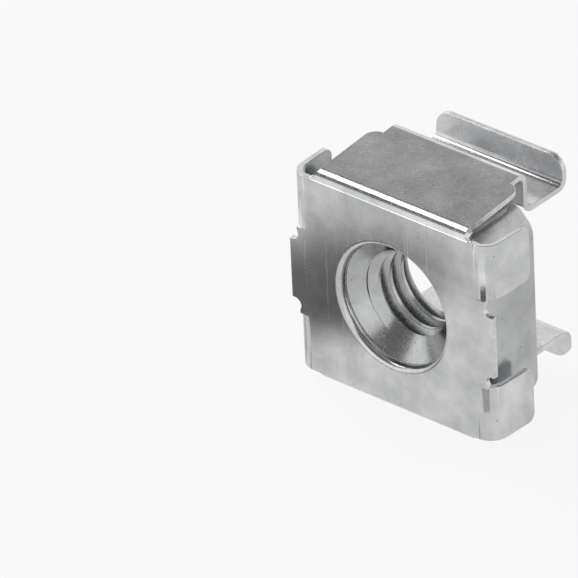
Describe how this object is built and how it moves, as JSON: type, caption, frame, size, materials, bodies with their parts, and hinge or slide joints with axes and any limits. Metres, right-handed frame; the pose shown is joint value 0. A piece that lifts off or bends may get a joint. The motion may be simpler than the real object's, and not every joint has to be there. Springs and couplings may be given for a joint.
{
  "type": "rack cage nut",
  "caption": "Square threaded nut held loosely in a folded spring-steel cage with hooked ears that snap into a square rack hole.",
  "frame": {"origin": "on the screw axis, at the outer face of the cage's front plate", "axes": "+Y along the screw axis, from the front plate towards the hooked ears; +Z from the screw axis to the upper ear; +X completes the set, along the width of the ears"},
  "size_m": [0.0148, 0.0101, 0.0146],
  "materials": {
    "cage_steel": "bright zinc plate on rolled spring steel, with fine scratches",
    "nut_steel": "bright zinc plate on a tapped square nut"
  },
  "bodies": {
    "root": {"cage": "cage_steel", "nut": "nut_steel"}
  },
  "joints": []
}
